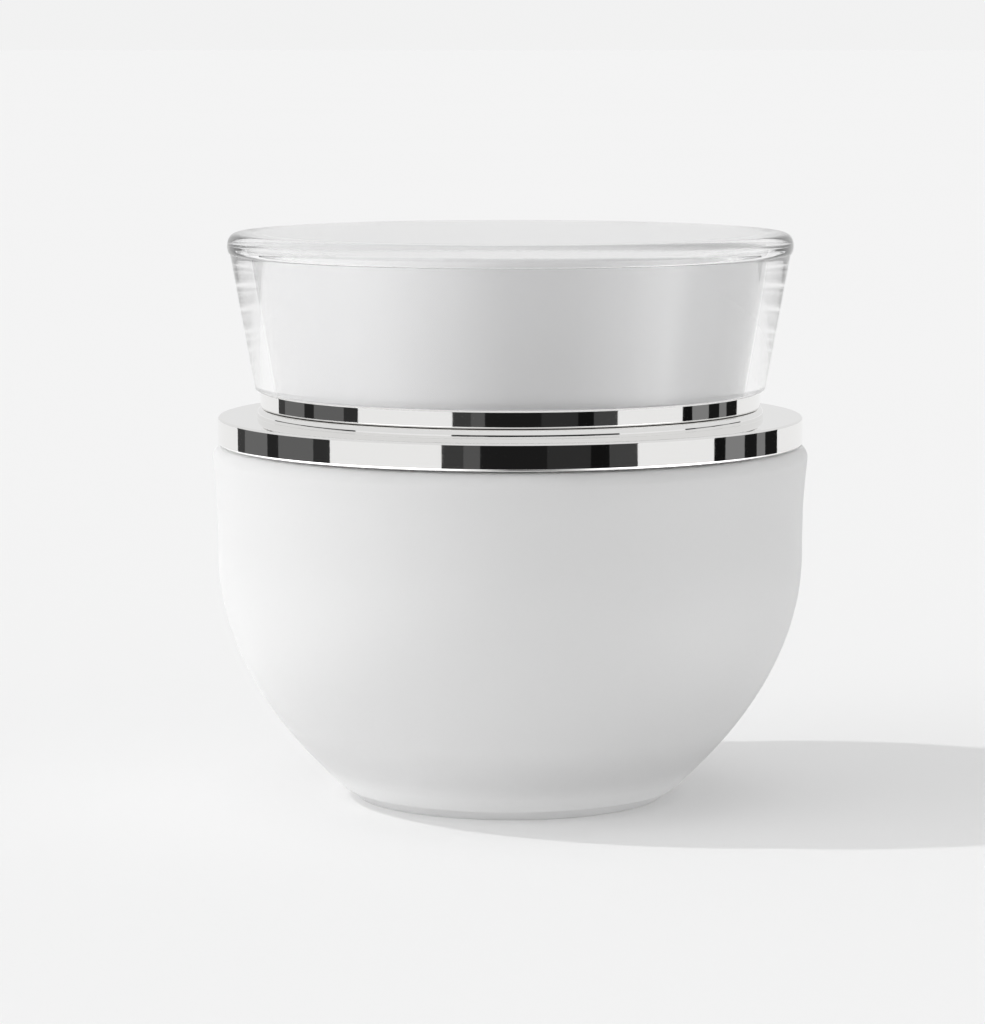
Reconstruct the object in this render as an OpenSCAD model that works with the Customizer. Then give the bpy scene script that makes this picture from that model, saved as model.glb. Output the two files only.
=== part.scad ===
// Cosmetic cream jar: a double-wall pot with a shoulder collar, and a screw lid with a clear overcap.
// Millimetres, +Z up. The origin is on the jar's axis, at the face it stands on.

/* [Bowl] */
// Radius of the bowl's belly
belly_r = 33.9; // [33:0.1:35]
// Height where the side starts to curve in
belly_z = 28.4; // [26:0.2:31]
// Height of the bowl's top face
bowl_h = 41; // [40.8:0.1:41.2]
// How far the shoulder swells past the belly
shoulder_swell = 0.55; // [0:0.05:0.8]
// Radius of the foot
foot_r = 18; // [16.5:0.1:18.5]
// Height of the foot
foot_h = 1.2; // [0.8:0.1:2]
// Wall thickness of the bowl at its belly
bowl_wall = 4; // [3:0.1:4.5]
// Thickness of the solid base
base_t = 6.5; // [5:0.1:6.9]

/* [Inner cup] */
// Outer radius of the neck, at the root of its thread
neck_r = 22.4; // [22.2:0.1:22.6]
// Wall thickness of the cup
cup_wall = 1.6; // [1.2:0.1:1.8]
// Height of the rim
rim_z = 52.6; // [52.4:0.1:52.8]
// Height of the underside of the cup
cup_bottom_z = 7.5; // [7:0.1:9]

/* [Screw thread] */
// Rise of the lid in one turn
thread_lead = 6; // [5:0.5:6]
// How far each thread stands out from its wall
thread_depth = 1; // [0.6:0.1:1]

/* [Collar] */
// Height of the collar's flat top
collar_z = 44.35; // [44.2:0.05:44.6]
// Radius of the raised land under the lid, at its foot
land_r = 29.3; // [29:0.1:30]

/* [Lid] */
// Overall height of the jar
jar_h = 65.5; // [65.2:0.1:67]
// Outer radius of the clear overcap at its lower edge
overcap_foot_r = 29.5; // [29.2:0.1:30]
// Outer radius of the clear overcap at its lip
lip_r = 32.65; // [32:0.05:33.4]
// Thickness of the clear top
clear_top_t = 1.05; // [0.8:0.05:2.6]
// Outer radius of the trim ring
trim_r = 28.9; // [28.7:0.1:29.1]

/* [Hidden] */
$fn = 96;

// Bowl
bowl_drop = 39;            // half height of the oval that the lower side follows
shoulder_z = 39.6;         // where the shoulder is widest
swell_start_z = 30.5;      // where the side starts to swell out to the shoulder
shoulder_round = 1.2;      // radius across the rounded top edge
recess_r = 14.5;           // shallow recess under the foot
recess_h = 0.5;
foot_bevel = 0.3;
side_steps = 26;           // bands along the curved side

// Inner cup
flange_t = 1.6;
flange_r = belly_r - bowl_wall + 1.6;
bore_r = neck_r - cup_wall;
cup_foot_r = neck_r - 1.5; // the cup narrows by this much towards its foot
cup_round = 7.5;           // outer radius of the rounded foot of the cup
rim_bevel = 0.4;

// Collar
collar_r = belly_r - 0.05;
collar_bottom_z = bowl_h + 0.25;
collar_skirt_t = 1.25;
collar_bore_r = neck_r + 1.5;
land_h = 1;
land_side = 0.4;           // its upright side, below the rounded edge
land_round = 0.6;          // how far the land's rounded edge reaches in
collar_bevel = 0.22;

// Thread: two starts, each a trapezium carried up a helix
starts = 2;
thread_z = 46.9;           // centre of the thread at its lower end
thread_sweep = 255;        // angle that each start covers
thread_steps = 34;
thread_root_h = 1.7;
thread_crest_h = 0.8;
thread_embed = 0.3;        // how far its foot is sunk into the wall
thread_gap = 0.35;         // radial clearance between the two threads
fade_steps = 4;            // steps over which each end fades into the wall

// Sealing disc and liner
disc_flange_r = neck_r - 0.2;
disc_z = rim_z + 0.05;
disc_t = 0.6;
dish_top_z = rim_z - 0.5;
dish_t = 0.7;
plug_r = bore_r - 0.35;
tab_w = 9;
tab_len = 13;
tab_t = 0.45;
tab_rise = 0.25;
liner_r = neck_r + 0.8;
liner_z = disc_z + disc_t + 0.1;
liner_t = 1.05;

// Lid
lid_gap = 0.07;            // between the land and the closed lid
lid_z = collar_z + land_h + lid_gap;
trim_t = 1.98;
trim_bevel = 0.16;
overcap_z = lid_z + trim_t + 0.05;
insert_bore_r = neck_r + thread_depth + thread_gap;
insert_r = insert_bore_r + 1.55;
insert_plate_z = liner_z + liner_t + 0.05;
insert_plate_t = 1.4;
cap_foot_r = 26.7;         // outer radius of the white cap at the bottom of the lid
cap_slope = 0.15;          // its flare, radius per height
cap_wall = 1.1;
cap_top_z = jar_h - clear_top_t - 0.15;
cap_plate_t = 1.3;
cap_round = 0.9;
cap_gap = 0.15;            // air between the white cap and the clear overcap
cap_flange_r = trim_r - 1.05;
cap_flange_t = 0.8;
lip_z = jar_h - 1.35;      // where the lip is widest
lip_round = 1.2;
rib_count = 8;
rib_t = 1.2;
rib_ring_r = 20;

// Points of an elliptical arc, from angle a0 to a1
function arc(cx, cz, rx, rz, a0, a1, steps = 8) =
    [for (i = [0:steps]) let (a = a0 + (a1 - a0) * i / steps) [cx + rx * cos(a), cz + rz * sin(a)]];

// Radius of the curved lower side, for an oval of the given radius and half height
function side_r(z, r, drop) = r * pow(1 - pow((belly_z - z) / drop, 2), 1 / 1.2);

// Curved side from height z0 up to the belly
function side(z0, r, drop) =
    [for (i = [0:side_steps]) let (z = z0 + (belly_z - z0) * i / side_steps) [side_r(z, r, drop), z]];

// The soft swell of the shoulder
function shoulder() =
    [for (i = [0:8]) let (t = i / 8)
        [belly_r + shoulder_swell * t * t, swell_start_z + (shoulder_z - swell_start_z) * t]];

// Points of a list in the opposite order
function reversed(list) = [for (i = [len(list) - 1:-1:0]) list[i]];

// Outer radius of the white cap at height z
function cap_r(z) = cap_foot_r + cap_slope * (z - lid_z);

module outer_bowl() {
    inside_r = belly_r - bowl_wall;
    round_cx = belly_r + shoulder_swell - shoulder_round;
    color("whitesmoke")
        rotate_extrude()
            polygon(concat(
                [[0, recess_h], [recess_r, recess_h], [recess_r + recess_h, 0]],
                [[foot_r - foot_bevel, 0], [foot_r, foot_bevel], [foot_r + foot_bevel, foot_h]],
                side(foot_h, belly_r, bowl_drop),
                shoulder(),
                arc(round_cx, shoulder_z, shoulder_round, bowl_h - shoulder_z, 10, 90),
                [[inside_r, bowl_h]],
                reversed(side(base_t, inside_r, bowl_drop - 5)),
                [[0, base_t]]
            ));
}

module inner_cup() {
    foot_cz = cup_bottom_z + cup_round;
    color("white")
        union() {
            rotate_extrude()
                polygon(concat(
                    [[0, cup_bottom_z]],
                    arc(cup_foot_r - cup_round, foot_cz, cup_round, cup_round, -90, 0),
                    [[neck_r, bowl_h], [flange_r, bowl_h], [flange_r, bowl_h + flange_t]],
                    [[neck_r, bowl_h + flange_t], [neck_r, rim_z - rim_bevel], [neck_r - rim_bevel, rim_z]],
                    [[bore_r + rim_bevel, rim_z], [bore_r, rim_z - rim_bevel]],
                    arc(cup_foot_r - cup_round, foot_cz, cup_round - cup_wall, cup_round - cup_wall, 0, -90),
                    [[0, cup_bottom_z + cup_wall]]
                ));
            thread(neck_r - thread_embed, neck_r + thread_depth, 0);
        }
}

module shoulder_collar() {
    plate_z = bowl_h + flange_t;
    color("gainsboro")
        rotate_extrude()
            polygon(concat(
                [[collar_bore_r, plate_z], [collar_r - collar_skirt_t, plate_z]],
                [[collar_r - collar_skirt_t, collar_bottom_z], [collar_r - collar_bevel, collar_bottom_z]],
                [[collar_r, collar_bottom_z + collar_bevel], [collar_r, collar_z - collar_bevel]],
                [[collar_r - collar_bevel, collar_z]],
                [[land_r, collar_z]],
                arc(land_r - land_round, collar_z + land_side, land_round, land_h - land_side, 0, 90),
                [[collar_bore_r, collar_z + land_h]]
            ));
}

module sealing_disc() {
    color("white")
        union() {
            rotate_extrude()
                polygon([
                    [0, dish_top_z - dish_t], [plug_r - 0.4, dish_top_z - dish_t],
                    [plug_r, dish_top_z - dish_t + 0.4], [plug_r, disc_z], [disc_flange_r, disc_z],
                    [disc_flange_r, disc_z + disc_t], [plug_r - 0.8, disc_z + disc_t],
                    [plug_r - 1.1, dish_top_z], [0, dish_top_z]
                ]);
            pull_tab();
        }
}

// A tongue that lies flat in the dish, joined to it along one end
module pull_tab() {
    translate([-tab_len / 2, 0, dish_top_z + tab_rise])
        linear_extrude(tab_t)
            union() {
                translate([0, -tab_w / 2])
                    square([tab_len - tab_w / 2, tab_w]);
                translate([tab_len - tab_w / 2, 0])
                    circle(tab_w / 2);
            }
    translate([-tab_len / 2, -tab_w / 2, dish_top_z - 0.1])
        cube([1.5, tab_w, tab_rise + 0.3]);
}

module liner() {
    color("ivory")
        translate([0, 0, liner_z])
            cylinder(h = liner_t, r = liner_r);
}

module overcap() {
    inner_top_z = jar_h - clear_top_t;
    color("aliceblue", 0.35)
        rotate_extrude()
            polygon(concat(
                [[cap_r(overcap_z) + cap_gap, overcap_z], [overcap_foot_r, overcap_z]],
                arc(lip_r - 0.35, lip_z, 0.35, 1.1, -90, 0),
                arc(lip_r - lip_round, lip_z, lip_round, jar_h - lip_z, 10, 90),
                [[0, jar_h], [0, inner_top_z]],
                arc(cap_r(inner_top_z) + cap_gap - 1, inner_top_z - 1, 1, 1, 90, 0)
            ));
}

module inner_cap() {
    plate_z = cap_top_z - cap_plate_t;
    color("white")
        rotate_extrude()
            polygon(concat(
                [[cap_r(lid_z) - cap_wall, lid_z], [cap_flange_r, lid_z]],
                [[cap_flange_r, lid_z + cap_flange_t], [cap_r(lid_z + cap_flange_t), lid_z + cap_flange_t]],
                arc(cap_r(cap_top_z) - cap_round, cap_top_z - cap_round, cap_round, cap_round, 0, 90),
                [[0, cap_top_z], [0, plate_z], [cap_r(plate_z) - cap_wall, plate_z]]
            ));
}

module threaded_insert() {
    skirt_z = lid_z + 0.2;
    plate_top_z = insert_plate_z + insert_plate_t;
    rib_h = cap_top_z - cap_plate_t - plate_top_z - 0.05;
    color("snow")
        union() {
            rotate_extrude()
                polygon([
                    [insert_bore_r, skirt_z], [insert_r, skirt_z], [insert_r, plate_top_z],
                    [0, plate_top_z], [0, insert_plate_z], [insert_bore_r, insert_plate_z]
                ]);
            thread(insert_bore_r + thread_embed, neck_r + thread_gap, 90);
            translate([0, 0, plate_top_z - 0.1])
                spacer_ribs(rib_h + 0.1);
        }
}

// A ring and radial ribs that hold the insert's plate under the white cap
module spacer_ribs(h) {
    rotate_extrude()
        translate([rib_ring_r - rib_t / 2, 0])
            square([rib_t, h]);
    for (i = [0:rib_count - 1])
        rotate([0, 0, 360 * i / rib_count])
            translate([rib_ring_r - 10, -rib_t / 2, 0])
                cube([14, rib_t, h]);
}

module lid_trim_ring() {
    band_r = cap_flange_r + 0.1;
    top_r = cap_r(lid_z + trim_t) + 0.1;
    seat_z = lid_z + cap_flange_t + 0.05;
    color("gainsboro")
        rotate_extrude()
            polygon([
                [band_r, lid_z], [trim_r - trim_bevel, lid_z], [trim_r, lid_z + trim_bevel],
                [trim_r, lid_z + trim_t - trim_bevel], [trim_r - trim_bevel, lid_z + trim_t],
                [top_r, lid_z + trim_t], [top_r, seat_z], [band_r, seat_z]
            ]);
}

// All the starts of one thread, from root_r in its wall to crest_r at its tip, turned by turn_by
module thread(root_r, crest_r, turn_by) {
    for (s = [0:starts - 1])
        rotate([0, 0, turn_by + 360 * s / starts])
            thread_start(root_r, crest_r);
}

module thread_start(root_r, crest_r) {
    sections = [for (i = [0:thread_steps]) thread_section(i, root_r, crest_r)];
    points = [for (s = sections) each s];
    sides = [for (i = [0:thread_steps - 1]) for (j = [0:3])
        let (a = 4 * i + j, b = 4 * i + (j + 1) % 4)
        each [[a, a + 4, b], [b, a + 4, b + 4]]];
    last = 4 * thread_steps;
    polyhedron(points, concat(sides, [[0, 1, 2, 3], [last + 3, last + 2, last + 1, last]]));
}

// The four corners of the thread at step i, in order round it
function thread_section(i, root_r, crest_r) =
    let (
        a = thread_sweep * i / thread_steps,
        z = thread_z + thread_lead * a / 360,
        grown = min(1, (min(i, thread_steps - i) + 0.6) / fade_steps),
        tip_r = root_r + (crest_r - root_r) * grown,
        corners = [
            [root_r, z - thread_root_h / 2], [tip_r, z - thread_crest_h / 2],
            [tip_r, z + thread_crest_h / 2], [root_r, z + thread_root_h / 2]
        ]
    )
    [for (c = crest_r > root_r ? reversed(corners) : corners) [c[0] * cos(a), c[0] * sin(a), c[1]]];

outer_bowl();
inner_cup();
shoulder_collar();
sealing_disc();
liner();
overcap();
inner_cap();
threaded_insert();
lid_trim_ring();
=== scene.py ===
"""Cosmetic cream jar: its visible pieces, finishes and studio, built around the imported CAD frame.

Lengths in the settings are in metres. Profiles are written in millimetres, as (radius, height)
points with an optional third number, the radius that the corner is rounded to.
"""

import math
from types import SimpleNamespace

import bmesh
import bpy
from bpy.props import (
    FloatProperty,
    FloatVectorProperty,
    IntProperty,
    PointerProperty,
)
from mathutils import Matrix, Vector


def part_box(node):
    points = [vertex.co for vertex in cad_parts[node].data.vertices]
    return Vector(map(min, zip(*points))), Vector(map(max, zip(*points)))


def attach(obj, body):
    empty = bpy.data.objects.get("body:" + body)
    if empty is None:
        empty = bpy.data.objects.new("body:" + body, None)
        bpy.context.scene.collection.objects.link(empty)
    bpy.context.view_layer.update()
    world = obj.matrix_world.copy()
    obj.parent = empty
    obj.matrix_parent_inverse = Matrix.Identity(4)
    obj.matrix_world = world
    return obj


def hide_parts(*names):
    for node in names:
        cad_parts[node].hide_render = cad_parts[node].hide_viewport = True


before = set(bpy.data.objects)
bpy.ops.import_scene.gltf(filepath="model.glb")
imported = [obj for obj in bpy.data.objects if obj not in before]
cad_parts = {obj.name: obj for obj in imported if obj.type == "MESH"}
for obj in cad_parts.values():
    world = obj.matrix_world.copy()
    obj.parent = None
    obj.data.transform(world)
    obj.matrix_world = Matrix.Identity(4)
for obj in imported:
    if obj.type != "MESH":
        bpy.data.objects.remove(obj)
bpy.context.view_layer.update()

bl_info = {
    "name": "Cream Jar",
    "version": (1, 0, 0),
    "blender": (4, 5, 0),
    "location": "3D View > Sidebar > Cream Jar",
    "description": "Builds a frosted cream jar with mirror rings and a clear screw lid",
    "category": "Object",
}

MM = 0.001
TURN_SEGMENTS = 192
FILLET_STEP = math.radians(12)
SHARP_ANGLE = math.radians(38)
HOLD_SHARE = 0.35  # how far beside a rounded corner its holding point lies, as a share of the radius
NO_DROP = 1e-6  # a section point with a drop up to this keeps its radius
FLOOR_HALF = 30.0  # half the floor's side, in metres
STAND_CLEAR = 0.5 * MM  # how far the flags and the card stay above the floor
FLAG_STEP = 4  # degrees that one face of a flag covers
CARD_STEP = 2  # degrees that one face of the card covers
CARD_FROM = 50 * MM  # where the card starts, from the jar's axis
CARD_SHARE = 0.98  # where it ends, as a share of the flags' distance


# ---------------------------------------------------------------- settings


def length(name, description, default):
    """A length setting, in metres."""
    return FloatProperty(
        name=name, description=description, default=default, min=0.0, precision=5,
        subtype="DISTANCE", unit="LENGTH",
    )


def share(name, description, default):
    """A setting from 0 to 1."""
    return FloatProperty(
        name=name, description=description, default=default, min=0.0, max=1.0, subtype="FACTOR",
    )


def amount(name, description, default):
    """A setting without a unit or an upper limit."""
    return FloatProperty(name=name, description=description, default=default, min=0.0)


def turn(name, description, default):
    """An angle setting, with its default in degrees."""
    return FloatProperty(
        name=name, description=description, default=math.radians(default), subtype="ANGLE", unit="ROTATION",
    )


def tint(name, description, default):
    """A colour setting."""
    return FloatVectorProperty(
        name=name, description=description, default=default, size=3, min=0.0, max=1.0,
        subtype="COLOR",
    )


def top_of(node):
    """Height of a CAD node's top, in metres."""
    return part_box(node)[1].z


def foot_of(node):
    """Height of a CAD node's underside, in metres."""
    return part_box(node)[0].z


def radius_of(node):
    """Largest radius of a turned CAD node, in metres."""
    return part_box(node)[1].x


class BowlSettings(bpy.types.PropertyGroup):
    """Sizes of the frosted outer bowl."""

    belly_radius: length("Belly radius", "Radius of the bowl at its belly", 33.9 * MM)
    belly_height: length("Belly height", "Height where the side starts to curve in", 28.4 * MM)
    height: length("Height", "Height of the bowl's top face", top_of("outer_bowl"))
    shoulder_radius: length("Shoulder radius", "Widest radius, at the shoulder", radius_of("outer_bowl"))
    shoulder_height: length("Shoulder height", "Height where the shoulder is widest", 39.6 * MM)
    swell_start: length("Swell start", "Height where the side starts to swell to the shoulder", 30.5 * MM)
    outer_drop: length("Outer drop", "Half height of the oval that the outside follows", 39 * MM)
    inner_drop: length("Inner drop", "Half height of the oval that the inside follows", 34 * MM)
    wall: length("Wall", "Wall thickness at the belly", 4 * MM)
    base: length("Base", "Thickness of the clear base", 6.5 * MM)
    foot_radius: length("Foot radius", "Radius of the foot", 18 * MM)
    foot_height: length("Foot height", "Height of the foot", 1.2 * MM)
    recess_radius: length("Recess radius", "Radius of the shallow recess under the foot", 14.5 * MM)
    recess_depth: length("Recess depth", "Depth of the recess under the foot", 0.5 * MM)
    roundness: amount("Roundness", "How full the lower side is: 2 is an ellipse", 1.2)


class CupSettings(bpy.types.PropertyGroup):
    """Sizes of the white inner cup, its sealing disc and the liner over them."""

    neck_radius: length("Neck radius", "Outer radius of the neck at the thread's root", 22.4 * MM)
    wall: length("Wall", "Wall thickness of the cup", 1.6 * MM)
    rim_height: length("Rim height", "Height of the rim", top_of("inner_cup"))
    bottom: length("Bottom", "Height of the cup's underside", foot_of("inner_cup"))
    round: length("Foot round", "Outer radius of the rounded foot of the cup", 7.5 * MM)
    flange_radius: length("Flange radius", "Radius of the cup's flange on the bowl", radius_of("inner_cup"))
    flange_thickness: length("Flange thickness", "Thickness of the flange", 1.6 * MM)
    disc_radius: length("Disc radius", "Radius of the sealing disc's flange", radius_of("sealing_disc"))
    disc_bottom: length("Disc bottom", "Height of the sealing disc's underside", foot_of("sealing_disc"))
    disc_top: length("Disc top", "Height of the sealing disc's flange", top_of("sealing_disc"))
    tab_width: length("Tab width", "Width of the pull tab", 9 * MM)
    tab_length: length("Tab length", "Length of the pull tab", 13 * MM)
    tab_thickness: length("Tab thickness", "Thickness of the pull tab", 0.45 * MM)
    liner_radius: length("Liner radius", "Radius of the foam liner", radius_of("liner"))
    liner_bottom: length("Liner bottom", "Height of the liner's underside", foot_of("liner"))
    liner_top: length("Liner top", "Height of the liner's top", top_of("liner"))


class ThreadSettings(bpy.types.PropertyGroup):
    """Sizes of the screw thread between the neck and the lid."""

    lead: length("Lead", "Rise of the lid in one turn", 6 * MM)
    lower_end: length("Lower end", "Height of the thread's centre at its lower end", 46.9 * MM)
    depth: length("Depth", "How far a thread stands out from its wall", 1 * MM)
    clearance: length("Clearance", "Radial gap between the two threads", 0.35 * MM)
    root_height: length("Root height", "Height of the thread at its root", 1.7 * MM)
    crest_height: length("Crest height", "Height of the thread at its crest", 0.8 * MM)
    embed: length("Embed", "How far the thread's root is sunk into its wall", 0.3 * MM)
    sweep: turn("Sweep", "Angle that each start covers", 255)
    starts: IntProperty(name="Starts", description="Number of thread starts", default=2, min=1, max=4)


class RingSettings(bpy.types.PropertyGroup):
    """Sizes of the two mirror rings."""

    collar_radius: length("Collar radius", "Outer radius of the collar", radius_of("shoulder_collar"))
    collar_bottom: length("Collar bottom", "Height of the collar's lower edge", foot_of("shoulder_collar"))
    collar_height: length("Collar height", "Height of the collar's flat top", 44.35 * MM)
    land_radius: length("Land radius", "Radius at the foot of the raised land under the lid", 29.3 * MM)
    land_round: length("Land round", "How far the land's rounded edge reaches in", 0.6 * MM)
    land_side: length("Land side", "Height of the land's upright side below its round", 0.4 * MM)
    land_height: length("Land height", "Height of the raised land's top", top_of("shoulder_collar"))
    trim_radius: length("Trim radius", "Outer radius of the lid's trim ring", radius_of("lid_trim_ring"))
    trim_bottom: length("Trim bottom", "Height of the trim ring's lower edge", foot_of("lid_trim_ring"))
    trim_top: length("Trim top", "Height of the trim ring's upper edge", top_of("lid_trim_ring"))


class LidSettings(bpy.types.PropertyGroup):
    """Sizes of the clear overcap, the pearl cap in it and the threaded insert."""

    overcap_bottom: length("Overcap bottom", "Height of the clear overcap's lower edge", foot_of("overcap"))
    overcap_top: length("Overcap top", "Height of the clear overcap's top", top_of("overcap"))
    overcap_foot_radius: length("Overcap foot radius", "Radius of the overcap at its lower edge", 29.5 * MM)
    lip_radius: length("Lip radius", "Radius of the overcap at its lip", radius_of("overcap"))
    clear_thickness: length("Clear thickness", "Thickness of the clear top", 1.05 * MM)
    cap_bottom: length("Cap bottom", "Height of the pearl cap's lower edge", foot_of("inner_cap"))
    cap_top: length("Cap top", "Height of the pearl cap's top", top_of("inner_cap"))
    cap_foot_radius: length("Cap foot radius", "Radius of the pearl cap at its lower edge", 26.7 * MM)
    cap_flange_radius: length("Cap flange radius", "Radius of the pearl cap's flange", 27.85 * MM)
    cap_wall: length("Cap wall", "Wall thickness of the pearl cap", 1.1 * MM)
    cap_plate: length("Cap plate", "Thickness of the pearl cap's top", 1.3 * MM)
    cap_slope: share("Cap slope", "Flare of the pearl cap, radius per height", 0.15)
    air_gap: length("Air gap", "Gap between the pearl cap and the clear overcap", 0.15 * MM)
    insert_radius: length("Insert radius", "Outer radius of the threaded insert's skirt", 25.3 * MM)
    insert_bottom: length("Insert bottom", "Height of the insert's lower edge", foot_of("threaded_insert"))
    insert_top: length("Insert top", "Height of the spacer ribs' top", top_of("threaded_insert"))
    insert_plate: length("Insert plate", "Height of the insert's plate, underside", 54.45 * MM)
    insert_plate_thickness: length("Insert plate thickness", "Thickness of the insert's plate", 1.4 * MM)
    rib_ring_radius: length("Rib ring radius", "Radius of the ring that ties the ribs", 20 * MM)
    rib_thickness: length("Rib thickness", "Thickness of the ribs and their ring", 1.2 * MM)
    rib_count: IntProperty(name="Ribs", description="Number of spacer ribs", default=8, min=3, max=24)


class FinishSettings(bpy.types.PropertyGroup):
    """Colours and gloss of the finishes."""

    frosted: tint("Frosted acrylic", "Colour of the frosted bowl", (0.955, 0.955, 0.955))
    frosted_clearness: share("Frosted clearness", "How much light the frosted bowl lets through", 0.12)
    frosted_roughness: share("Frosted roughness", "Roughness of the frosted bowl", 0.55)
    pearl: tint("Pearl white", "Colour of the pearl cap", (0.95, 0.95, 0.955))
    satin: tint("White polypropylene", "Colour of the cup and the insert", (0.90, 0.90, 0.89))
    natural: tint("Natural polypropylene", "Colour of the sealing disc", (0.88, 0.89, 0.89))
    foam: tint("Foam", "Colour of the liner", (0.88, 0.87, 0.84))
    mirror: tint("Mirror metal", "Colour of the metallised rings", (0.90, 0.895, 0.885))
    clear: tint("Clear acrylic", "Colour of the clear overcap", (0.975, 0.975, 0.975))
    # Painted shade: a band of the bowl made darker by height, in place of the shadow of the cup's foot
    painted_base_shade: share("Base shade", "How much darker the bowl is beside the cup's foot", 0.10)
    shade_height: length("Shade height", "Height of that shade's middle", 6 * MM)
    shade_reach: length("Shade reach", "How far that shade reaches up and down", 2.5 * MM)
    # Painted glow: the bowl's base gives off light of its own, in place of light gathered in the thick base
    painted_base_glow: share("Base glow", "Light that gathers in the bowl's thick base", 0.11)
    glow_height: length("Glow height", "Height where that light fades out", 5 * MM)


class StudioSettings(bpy.types.PropertyGroup):
    """Light and camera."""

    floor_tone: tint("Floor", "Colour of the floor", (0.873, 0.873, 0.873))
    fill: amount("Fill", "Brightness of the light from all round", 0.805)
    surround: amount("Surround", "Brightness of what is seen beyond the floor", 0.885)
    sheen: amount("Sheen surround", "Brightness that gloss reflects from the surround", 0.80)
    key: amount("Key", "Strength of the key light", 0.76)
    key_side: turn("Key side", "Direction of the key light, from the front to the left", 90)
    key_height: turn("Key height", "Direction of the key light above the horizon", 47)
    key_spread: turn("Key spread", "Angle that the key light takes up", 1.5)
    side: amount("Side", "Strength of the broad light from the side", 0.98)
    side_side: turn("Side light's side", "Direction of the side light, from the front to the left", 68)
    side_height: turn("Side light's height", "Direction of the side light above the horizon", 8)
    side_spread: turn("Side light's spread", "Angle that the side light takes up", 50)
    flag_radius: length("Flag radius", "Distance of the black flags from the jar", 300 * MM)
    flag_height: length("Flag height", "Height of the black flags", 60 * MM)
    camera_place: FloatVectorProperty(
        name="Camera place", description="Where the camera stands", default=(-0.00205, -0.468, 0.0877),
        size=3, precision=5, subtype="XYZ", unit="LENGTH",
    )
    camera_tilt: turn("Camera tilt", "How far the camera looks down", 6.67)
    camera_lens: amount("Lens", "Focal length in millimetres", 142.4)


class JarSettings(bpy.types.PropertyGroup):
    """All settings of the jar."""

    bowl: PointerProperty(type=BowlSettings)
    cup: PointerProperty(type=CupSettings)
    thread: PointerProperty(type=ThreadSettings)
    rings: PointerProperty(type=RingSettings)
    lid: PointerProperty(type=LidSettings)
    finish: PointerProperty(type=FinishSettings)
    studio: PointerProperty(type=StudioSettings)


def sizes(group):
    """A group's settings by name, with its lengths in millimetres."""
    values = {}
    for key, prop in group.bl_rna.properties.items():
        if key in ("rna_type", "name"):
            continue
        value = getattr(group, key)
        in_metres = prop.unit == "LENGTH" and not getattr(prop, "is_array", False)
        values[key] = value / MM if in_metres else value
    return SimpleNamespace(**values)


# ---------------------------------------------------------------- turned meshes


def arc(centre_r, centre_z, reach_r, reach_z, first, last, steps=10):
    """Points of an elliptical arc between two angles in degrees."""
    points = []
    for i in range(steps + 1):
        angle = math.radians(first + (last - first) * i / steps)
        points.append((centre_r + reach_r * math.cos(angle), centre_z + reach_z * math.sin(angle)))
    return points


def rounded(points):
    """A closed profile's points. Each corner with a radius is rounded, and held flat beside the round."""
    made = []
    for i, point in enumerate(points):
        if len(point) < 3:
            made.append(tuple(point))
            continue
        here, radius = Vector(point[:2]), point[2]
        back = (Vector(points[i - 1][:2]) - here).normalized()
        ahead = (Vector(points[(i + 1) % len(points)][:2]) - here).normalized()
        half = math.acos(max(-1.0, min(1.0, back.dot(ahead)))) / 2
        centre = here + (back + ahead).normalized() * radius / math.sin(half)
        reach = radius / math.tan(half)
        start, end = here + back * reach - centre, here + ahead * reach - centre
        turn = math.atan2(start.x * end.y - start.y * end.x, start.dot(end))
        steps = max(3, math.ceil(abs(turn) / FILLET_STEP))
        made.append(tuple(here + back * (reach + HOLD_SHARE * radius)))
        for k in range(steps + 1):
            c, s = math.cos(turn * k / steps), math.sin(turn * k / steps)
            made.append((centre.x + start.x * c - start.y * s, centre.y + start.x * s + start.y * c))
        made.append(tuple(here + ahead * (reach + HOLD_SHARE * radius)))
    return made


def turned(name, profile, segments=TURN_SEGMENTS):
    """A closed mesh made by turning a profile round the Z axis. A point on the axis becomes a pole."""
    bm = bmesh.new()
    rings = []
    for r, z in profile:
        if r < 1e-6:
            rings.append([bm.verts.new((0.0, 0.0, z * MM))])
            continue
        angles = [2 * math.pi * k / segments for k in range(segments)]
        rings.append([bm.verts.new((r * MM * math.cos(a), r * MM * math.sin(a), z * MM)) for a in angles])
    for low, high in zip(rings, rings[1:] + rings[:1]):
        if len(low) == len(high) == 1:
            continue
        for k in range(segments):
            n = (k + 1) % segments
            corners = [low[k % len(low)], low[n % len(low)], high[n % len(high)], high[k % len(high)]]
            bm.faces.new(list(dict.fromkeys(corners)))
    mesh = bpy.data.meshes.new(name)
    renew_normals(bm, mesh)
    return mesh


def place(name, mesh, material=None):
    """A new object at the origin for a mesh."""
    if material is not None:
        mesh.materials.clear()
        mesh.materials.append(material)
    piece = bpy.data.objects.new(name, mesh)
    bpy.context.scene.collection.objects.link(piece)
    return piece


def settle(piece, body, node):
    """Ties a finished piece to its CAD body and hides the CAD node that it stands for."""
    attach(piece, body)
    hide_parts(node)


# ---------------------------------------------------------------- node trees


def new_tree(name, kind, inputs, outputs):
    """A node tree with its input and output sockets, each given as its name and its type."""
    tree = bpy.data.node_groups.new(name, kind)
    for in_out, sockets in (("INPUT", inputs), ("OUTPUT", outputs)):
        for socket, socket_type in sockets.items():
            tree.interface.new_socket(socket, in_out=in_out, socket_type="NodeSocket" + socket_type)
    return tree, tree.nodes.new("NodeGroupInput").outputs, tree.nodes.new("NodeGroupOutput").inputs


def add(tree, kind, values=None, **settings):
    """A node with its settings, and its inputs' values or links by the input's name or number."""
    node = tree.nodes.new(kind)
    for key, value in settings.items():
        setattr(node, key, value)
    for key, value in (values or {}).items():
        value = value.socket if isinstance(value, Number) else value
        if isinstance(value, bpy.types.NodeSocket):
            tree.links.new(value, node.inputs[key])
        else:
            node.inputs[key].default_value = value
    return node


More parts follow.
